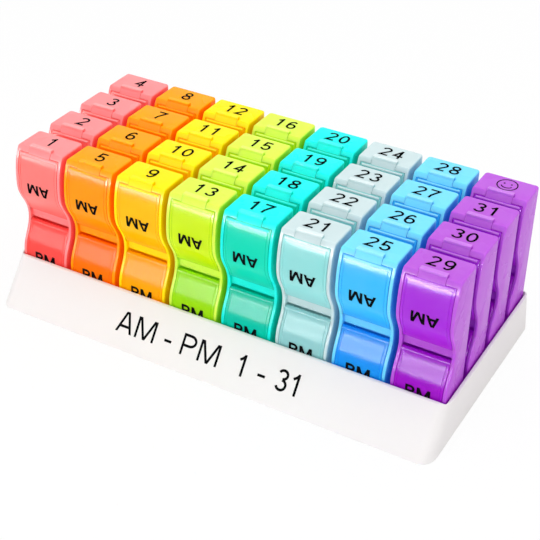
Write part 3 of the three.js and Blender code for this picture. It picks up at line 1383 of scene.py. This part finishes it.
@dataclass
class Printing:
    """Makes the printed figures and letters as thin films of ink.

    Attributes:
        shapes: The day box's masters, whose front curve the lid prints follow.
        film: The ink's thickness over the plastic, and its depth in it.
        print_drop: How far below the belly's fullest line the lids are printed.
        cuts: Strips in which a print is bent round a lid.
        lid_height: The height of the letters on the lids.
        lid_style: Their strokes.
        day_height: The height of the figures on the tops.
        day_stretch: How much wider they are than plain ones.
        day_style: Their strokes.
        face_radius: The radius of the line face.
        face_line: The width of its lines.
        mouth_share: The mouth's radius as a share of the face's.
        mouth_angles: Where the mouth starts and ends, in degrees.
        eye_radius: The radius of an eye.
        eye_place: Where the right eye is, from the face's middle.
    """

    shapes: DayBoxShapes
    film: float = 0.06 * MM
    print_drop: float = 0.8 * MM
    cuts: int = 9
    lid_height: float = 5.6 * MM
    lid_style: Lettering = Lettering(stroke=0.2, gap=0.1)
    day_height: float = 7.3 * MM
    day_stretch: float = 1.08
    day_style: Lettering = Lettering(stroke=0.13, gap=0.2)
    face_radius: float = 4.6 * MM
    face_line: float = 0.5 * MM
    mouth_share: float = 0.58
    mouth_angles: Pair = (205.0, 335.0)
    eye_radius: float = 0.45 * MM
    eye_place: Pair = (1.7 * MM, 1.0 * MM)

    def words(self, text: str, height: float, stretch: float, style: Lettering) -> bmesh.types.BMesh:
        """Set words round the origin, in X and Y, half sunk in the plastic.

        Args:
            text: What is printed.
            height: The height of its capitals or figures.
            stretch: The width, as a share of the lettering's own.
            style: The lettering.

        Returns:
            The letters.
        """
        bm = bmesh.new()
        across = 0.0
        for sign in text:
            width, mesh = style.sign(sign)
            if mesh is not None:
                mesh.transform(Matrix.Translation((across, 0, 0)))
                bm.from_mesh(mesh)
                bpy.data.meshes.remove(mesh)
            across += width + style.gap
        shift(bm, -Vector(((across - style.gap) / 2, 1 / 2, 0)))
        bmesh.ops.scale(bm, verts=bm.verts[:], vec=Vector((height * stretch, height, self.film)))
        return bm

    def lid_print(self, text: str, half: Half) -> bpy.types.Mesh:
        """Print letters round the belly of a lid, their feet towards the lid's outer end.

        Args:
            text: What is printed.
            half: The lid's compartment.

        Returns:
            The print's mesh, in the box's coordinates.
        """
        bm = self.words(text, self.lid_height, 1.0, self.lid_style)
        if half is Half.MORNING:
            turn(bm, math.pi, "Z")
        turn(bm, math.pi / 2, "X")
        shift(bm, Vector((0, 0, self.shapes.sizes.belly_z(half) - self.print_drop)))
        heights = [vert.co.z for vert in bm.verts]
        low, high = min(heights), max(heights)
        for cut in range(1, self.cuts):
            bmesh.ops.bisect_plane(
                bm, geom=bm.verts[:] + bm.edges[:] + bm.faces[:], dist=CUT_TOLERANCE,
                plane_co=Vector((0, 0, low + (high - low) * cut / self.cuts)), plane_no=Vector((0, 0, 1)),
            )
        for vert in bm.verts:
            vert.co.y += self.shapes.front.y(vert.co.z)
        return new_mesh(f"{text}_master", bm)

    def top_print(self, number: int) -> bpy.types.Mesh:
        """Print a box's day on its top, or the line face on the spare box.

        Args:
            number: The box's number in the set, from 1.

        Returns:
            The print's mesh, in the box's coordinates.
        """
        size = self.shapes.sizes
        spare = number > DAYS_IN_MONTH
        bm = self.face() if spare else self.words(
            str(number), self.day_height, self.day_stretch, self.day_style,
        )
        centre_y = size.catch_depth + (size.top_depth - size.catch_depth) / 2
        shift(bm, Vector((0, centre_y, size.height)))
        return new_mesh("spare_print" if spare else f"day_{number}_print", bm)

    def face(self) -> bmesh.types.BMesh:
        """Draw the plain line face of the spare box: a ring, two dots and an arc.

        Returns:
            The flat drawing around the origin.
        """
        bm = bmesh.new()
        self._arc(bm, self.face_radius, (0.0, 360.0), steps=48)
        self._arc(bm, self.face_radius * self.mouth_share, self.mouth_angles, steps=16)
        across, up = self.eye_place
        for side in (-1, 1):
            bmesh.ops.create_circle(
                bm, cap_ends=True, segments=16, radius=self.eye_radius,
                matrix=Matrix.Translation(Vector((side * across, up, 0))),
            )
        pull(bm, bm.faces[:], Vector((0, 0, 2 * self.film)))
        shift(bm, Vector((0, 0, -self.film)))
        return bm

    def _arc(self, bm: bmesh.types.BMesh, radius: float, angles: Pair, steps: int) -> None:
        """Spin a short edge round the origin into a flat arc.

        Args:
            bm: The drawing.
            radius: The arc's middle radius.
            angles: Where it starts and ends, in degrees.
            steps: Its facets.
        """
        start, end = (math.radians(angle) for angle in angles)
        half = self.face_line / 2
        turned = Matrix.Rotation(start, 3, "Z")
        ends = [turned @ Vector((reach, 0, 0)) for reach in (radius - half, radius + half)]
        verts = trace(bm, ends, closed=False)
        bmesh.ops.spin(
            bm, geom=[bm.edges.get(verts), *verts], cent=Vector(), axis=Vector((0, 0, 1)), angle=end - start,
            steps=steps, use_merge=angles[1] - angles[0] == 360,
        )


@dataclass(frozen=True)
class TraySizes:
    """Sizes of the tray, in metres, in the frame's coordinates."""

    pocket_length: float = 222.8 * MM
    pocket_depth: float = 93.4 * MM
    rim_wall: float = 1.7 * MM
    rim_height: float = 21.1 * MM
    floor_height: float = 2.5 * MM
    floor_wall: float = 1.5 * MM
    front_flare: float = 16 * MM
    back_flare: float = 4 * MM
    side_flare: float = 0.5 * MM
    skirt_wall: float = 1.8 * MM
    rim_bridge: float = 2.2 * MM
    base_radius: float = 6 * MM
    pocket_radius: float = 0.8 * MM
    edge_radius: float = 0.35 * MM
    rib_wall: float = 2 * MM
    cross_ribs: int = 3
    label_height: float = 10 * MM
    label_stretch: float = 0.95
    label_style: Lettering = Lettering(stroke=0.125, gap=0.13)
    overrun: float = 3 * MM

    @property
    def middle_y(self) -> float:
        """Return the pocket's middle in depth."""
        return (self.front_flare - self.back_flare) / 2

    @property
    def half_rim(self) -> Pair:
        """Return half the rim's length and depth."""
        return (self.pocket_length / 2 + self.rim_wall, self.pocket_depth / 2 + self.rim_wall)

    @property
    def rim_low(self) -> Vector:
        """Return the rim's front left corner."""
        return Vector((-self.half_rim[0], self.middle_y - self.half_rim[1], 0))

    @property
    def rim_high(self) -> Vector:
        """Return the rim's back right corner."""
        return Vector((self.half_rim[0], self.middle_y + self.half_rim[1], 0))

    @property
    def base_low(self) -> Vector:
        """Return the base's front left corner."""
        return self.rim_low - Vector((self.side_flare, self.front_flare, 0))

    @property
    def base_high(self) -> Vector:
        """Return the base's back right corner."""
        return self.rim_high + Vector((self.side_flare, self.back_flare, 0))


@dataclass
class Tray:
    """The white tray: a pocket, a flared skirt and ribs under the floor.

    Attributes:
        sizes: The tray's sizes.
    """

    sizes: TraySizes = field(default_factory=TraySizes)

    def _flared(
        self, base: tuple[Vector, Vector], rim: tuple[Vector, Vector], top_z: float, radius: float,
        segments: int,
    ) -> bmesh.types.BMesh:
        """Make a block whose top outline differs from its base, with round upright corners.

        Args:
            base: The base's front left and back right corners.
            rim: The top's front left and back right corners.
            top_z: The top's height.
            radius: The corners' rounding.
            segments: Their facets.

        Returns:
            The block.
        """
        (low, high), (rim_low, rim_high) = base, rim
        bm = block(Vector((low.x, low.y, 0)), Vector((high.x, high.y, top_z)))
        for vert in bm.verts:
            if vert.co.z > top_z / 2:
                vert.co.x = rim_low.x if vert.co.x < 0 else rim_high.x
                vert.co.y = rim_low.y if vert.co.y < self.sizes.middle_y else rim_high.y
        round_edges(bm, climbing(bm.edges, top_z / 2), radius, segments)
        return bm

    def mesh(self) -> bpy.types.Mesh:
        """Model the tray.

        Returns:
            The tray's mesh.
        """
        size = self.sizes
        base, rim = (size.base_low, size.base_high), (size.rim_low, size.rim_high)
        outer = self._flared(base, rim, size.rim_height, size.base_radius, segments=8)
        bm = opened(combine(new_mesh("tray_master", outer), Join.CUT, self._underside(), self._pocket()))
        bmesh.ops.triangulate(bm, faces=[face for face in bm.faces if len(face.verts) > 4])
        return softened(new_mesh("tray_master", bm), size.edge_radius, angle=40)

    def _pocket(self) -> bpy.types.Mesh:
        """Make the space that the boxes stand in.

        Returns:
            The space.
        """
        size = self.sizes
        half_length, half_depth = size.pocket_length / 2, size.pocket_depth / 2
        pocket = block(
            Vector((-half_length, size.middle_y - half_depth, size.floor_height)),
            Vector((half_length, size.middle_y + half_depth, size.rim_height + size.overrun)),
        )
        round_edges(pocket, climbing(pocket.edges, size.overrun), size.pocket_radius, segments=4)
        return new_mesh("pocket", pocket)

    def _underside(self) -> bpy.types.Mesh:
        """Make the hollow under the floor and inside the skirt, parted by the ribs.

        Returns:
            The hollow.
        """
        size = self.sizes
        wall = size.skirt_wall
        low_y, high_y = size.base_low.y, size.base_high.y
        top_z = size.rim_height - size.rim_bridge
        drop = top_z / size.rim_height
        half_length = size.pocket_length / 2 - wall
        base = (Vector((-half_length, low_y + wall, 0)), Vector((half_length, high_y - wall, 0)))
        rim = (
            Vector((-half_length, low_y + (size.rim_low.y - low_y) * drop + wall, 0)),
            Vector((half_length, high_y + (size.rim_high.y - high_y) * drop - wall, 0)),
        )
        hollow = self._flared(base, rim, top_z, size.pocket_radius, segments=3)
        feet = [vert for vert in hollow.verts if vert.co.z < top_z / 2]
        bmesh.ops.translate(hollow, verts=feet, vec=Vector((0, 0, -size.overrun)))
        well = block(
            Vector((-half_length - size.overrun, size.rim_low.y, size.floor_height - size.floor_wall)),
            Vector((half_length + size.overrun, size.rim_high.y, size.rim_height)),
        )
        return combine(new_mesh("hollow", hollow), Join.CUT, new_mesh("well", well), *self._ribs())

    def _ribs(self) -> list[bpy.types.Mesh]:
        """Make the ribs under the floor: one along the tray and some across it.

        Returns:
            The ribs, longer and higher than the hollow that they part.
        """
        size = self.sizes
        half, reach = size.rib_wall / 2, size.pocket_length
        spans = [((-reach, -half), (reach, half))]
        for index in range(size.cross_ribs):
            middle = ((index + 1) / (size.cross_ribs + 1) - 1 / 2) * size.pocket_length
            spans.append(((middle - half, -reach), (middle + half, reach)))
        return [
            new_mesh("rib", block(Vector((*low, -2 * size.overrun)), Vector((*high, size.rim_height))))
            for low, high in spans
        ]

    def label(self, printing: Printing) -> bpy.types.Mesh:
        """Print the plain day range on the sloping front.

        Args:
            printing: The printer.

        Returns:
            The label's mesh, in the frame's coordinates.
        """
        size = self.sizes
        bm = printing.words(LABEL, size.label_height, size.label_stretch, size.label_style)
        turn(bm, math.pi / 2 - math.atan2(size.front_flare, size.rim_height), "X")
        shift(bm, Vector((0, size.rim_low.y - size.front_flare / 2, size.rim_height / 2)))
        return new_mesh("tray_label", bm)


@dataclass
class PillBox:
    """Sets a copy of every master on the frame's boxes and dresses it.

    Attributes:
        shapes: The day box's masters.
    """

    frame: dict
    shapes: DayBoxShapes = field(default_factory=DayBoxShapes)

    def __post_init__(self) -> None:
        """Prepare the finishes and the masters."""
        self.ink = PrintedInk("black_print", srgb(3, 3, 4)).build()
        self.printing = Printing(self.shapes)
        self.white = WhiteMoulding("white_tray_plastic", srgb(239, 236, 235)).build()
        self.lid_finish = {dye: dye.lid().build() for dye in Dye}
        # The shell finish carries painted light: it is a lighter copy of the lid's dye.
        self.shell_finish = {dye: dye.shell().build() for dye in Dye}
        # The tongue finish paints a highlight on the lid tips and beads.
        self.tongue_finish = {dye: dye.tongue().build() for dye in Dye}
        self.shell = self.shapes.shell()
        self.lids = {half: self.shapes.lid(half) for half in Half}
        self.lid_prints = {
            Half.MORNING: self.printing.lid_print("AM", Half.MORNING),
            Half.EVENING: self.printing.lid_print("PM", Half.EVENING),
        }

    def place(
        self, name: str, mesh: bpy.types.Mesh, at: Vector, finishes: list[bpy.types.Material], body: str,
        slot: str,
    ) -> bpy.types.Object:
        """Set a copy of a mesh in the frame and let it ride on a body.

        Args:
            name: The piece's name.
            mesh: The master, in a day box's coordinates.
            at: Where those coordinates start.
            finishes: The piece's materials, by index.
            body: The body that it moves with.
            slot: The record's material slot; not used.

        Returns:
            The piece.
        """
        copy = mesh.copy()
        copy.name = name
        copy.transform(Matrix.Translation(at))
        for finish in finishes:
            copy.materials.append(finish)
        piece = set_out(name, copy)
        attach(piece, body)
        return piece

    def day_box(self, number: int) -> None:
        """Finish one day box: its shell, its lids and its printing.

        Args:
            number: The box's number in the set, from 1.
        """
        day = f"{number:02d}"
        node = f"day_box_{day}"
        box_body = f"box_{day}"
        column, row = divmod(number - 1, ROWS)
        dye = list(Dye)[column]
        low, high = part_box(node)
        at = Vector(((low.x + high.x) / 2, high.y - self.shapes.sizes.top_depth, low.z))
        shell = self.place(f"shell_{day}", self.shell, at, [self.shell_finish[dye]], box_body, dye.slot)
        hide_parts(node)
        finishes = [self.lid_finish[dye], self.tongue_finish[dye], self.shell_finish[dye]]
        for half, stem in ((Half.MORNING, "am"), (Half.EVENING, "pm")):
            lid_node = f"{stem}_lid_{day}"
            hinged = half is Half.MORNING and row == 0
            body = f"lid_{day}" if hinged else box_body
            lid = self.place(f"{stem}_cover_{day}", self.lids[half], at, finishes, body, dye.slot)
            if lid_node in self.frame["nodes"]:
                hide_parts(lid_node)
            self.place(f"{stem}_print_{day}", self.lid_prints[half], at, [self.ink], body, dye.slot)
        top_print = self.printing.top_print(number)
        self.place(f"day_print_{day}", top_print, at, [self.ink], box_body, dye.slot)
        LOG.info("day box %s: %s, row %d", day, dye.name.lower(), row + 1)

    def tray(self) -> None:
        """Finish the tray and its label."""
        tray = Tray()
        piece = self.place("tray_moulding", tray.mesh(), Vector(), [self.white], "tray", "tray_white")
        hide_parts("tray")
        self.place("tray_label", tray.label(self.printing), Vector(), [self.ink], "tray", "tray_white")
        LOG.info("tray: moulding and label")

    def build(self) -> None:
        """Finish every piece of the frame."""
        self.tray()
        for number in range(1, COLUMNS * ROWS + 1):
            self.day_box(number)


@dataclass(frozen=True)
class SoftBox:
    """A soft rectangular lamp that faces the middle of the set.

    Attributes:
        name: The lamp's name.
        place: Where it hangs, in metres.
        size: Its width and height.
        power: Its power in watts.
        gloss_only: Whether it shows in gloss alone and lights no body colour.
        aim: The point that it faces.
    """

    name: str
    place: tuple[float, float, float]
    size: Pair
    power: float
    gloss_only: bool = False
    aim: tuple[float, float, float] = (0.0, 0.0, 0.045)

    def hang(self) -> None:
        """Hang the lamp where the camera doesn't see it."""
        data = bpy.data.lights.new(self.name, "AREA")
        data.shape = "RECTANGLE"
        data.size, data.size_y = self.size
        data.energy = self.power
        lamp = set_out(self.name, data)
        way = Vector(self.aim) - Vector(self.place)
        facing = way.to_track_quat("-Z", "Y").to_matrix().to_4x4()
        lamp.matrix_world = Matrix.Translation(self.place) @ facing
        lamp.visible_camera = False
        lamp.visible_diffuse = not self.gloss_only


@dataclass
class Studio:
    """The pale floor, the soft lamps and the camera.

    Attributes:
        focal_pixels: The camera's focal length in pixels of the photograph.
        azimuth: The way the camera stands round from the front, in degrees.
        elevation: How far it looks down, in degrees.
        roll: How far it is turned about its own axis, in degrees.
        position: Where the camera is, in metres.
        sensor: The sensor's width in millimetres.
        nearest: The nearest thing that the camera shows, in metres.
        surround: The light from all round.
        floor_reach: Half the floor's width, in metres.
        floor_colour: The colour that the floor has for the light.
        floor_roughness: How dull the floor is.
        floor_glow: The share of white that the eye sees over it.
        lamps: The lamps.
    """

    focal_pixels: float = 1272.9
    azimuth: float = 29.47
    elevation: float = 34.31
    roll: float = 0.73
    position: tuple[float, float, float] = (0.2464, -0.42947, 0.36365)
    sensor: float = 36.0
    nearest: float = 0.01
    surround: float = 0.58
    floor_reach: float = 4.0
    floor_colour: Colour = (0.9, 0.9, 0.9, 1.0)
    floor_roughness: float = 0.9
    floor_glow: float = 0.9
    lamps: tuple[SoftBox, ...] = (
        SoftBox("front_box", (-0.35, -1.1, 0.75), (1.2, 0.8), 3.5),
        SoftBox("top_box", (0.1, 0.1, 1.1), (1.2, 1.2), 7.2),
        SoftBox("right_fill", (1.0, -0.2, 0.5), (0.8, 0.8), 0.7),
        SoftBox("long_strip", (-0.24, -0.5, 0.125), (1.1, 0.11), 10.0, gloss_only=True),
        SoftBox("short_strip", (0.09, -0.5, 0.125), (0.72, 0.11), 10.0, gloss_only=True),
    )

    def camera(self) -> None:
        """Set the camera at the photograph's angle."""
        data = bpy.data.cameras.new("camera")
        data.sensor_width = self.sensor
        data.lens = self.focal_pixels / IMAGE_PIXELS * self.sensor
        data.clip_start = self.nearest
        holder = set_out("camera", data)
        around, down, roll = (math.radians(angle) for angle in (self.azimuth, self.elevation, self.roll))
        back = Vector((math.sin(around) * math.cos(down), -math.cos(around) * math.cos(down), math.sin(down)))
        right = (-back).cross(Vector((0, 0, 1))).normalized()
        up = right.cross(-back)
        rolled_right = math.cos(roll) * right + math.sin(roll) * up
        rolled_up = -math.sin(roll) * right + math.cos(roll) * up
        axes = Matrix((rolled_right, rolled_up, back)).transposed().to_4x4()
        holder.matrix_world = Matrix.Translation(Vector(self.position)) @ axes
        bpy.context.scene.camera = holder

    def floor(self) -> None:
        """Lay the pale floor, which reads white to the eye and keeps a soft shadow."""
        bm = bmesh.new()
        bmesh.ops.create_grid(bm, x_segments=1, y_segments=1, size=self.floor_reach)
        mesh = new_mesh("floor", bm)
        nodes = Shading(bpy.data.materials.new("white_floor"))
        nodes.surface({"Base Color": self.floor_colour, "Roughness": self.floor_roughness})
        glow = nodes.node("ShaderNodeEmission", {"Color": WHITE, "Strength": 1.0})
        nodes.show(nodes.tree.nodes["Principled BSDF"], glow, self.floor_glow, "Material Output")
        mesh.materials.append(nodes.owner)
        set_out("floor", mesh)

    def world(self) -> None:
        """Light the set from all round, and show white behind it."""
        nodes = Shading(bpy.data.worlds.new("studio"))
        lit = nodes.feed(nodes.tree.nodes["Background"], {"Color": WHITE, "Strength": self.surround})
        seen = nodes.node("ShaderNodeBackground", {"Color": WHITE, "Strength": 1.0})
        nodes.show(lit, seen, 1.0, "World Output")
        bpy.context.scene.world = nodes.owner

    def build(self) -> None:
        """Set up the whole studio."""
        self.camera()
        self.floor()
        self.world()
        for lamp in self.lamps:
            lamp.hang()
        bpy.context.scene.view_settings.view_transform = "Standard"


def main() -> None:
    """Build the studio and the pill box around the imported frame."""
    logging.basicConfig(level=logging.INFO, format="%(message)s")
    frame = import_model()
    Studio().build()
    PillBox(frame).build()


if __name__ == "__main__":
    main()
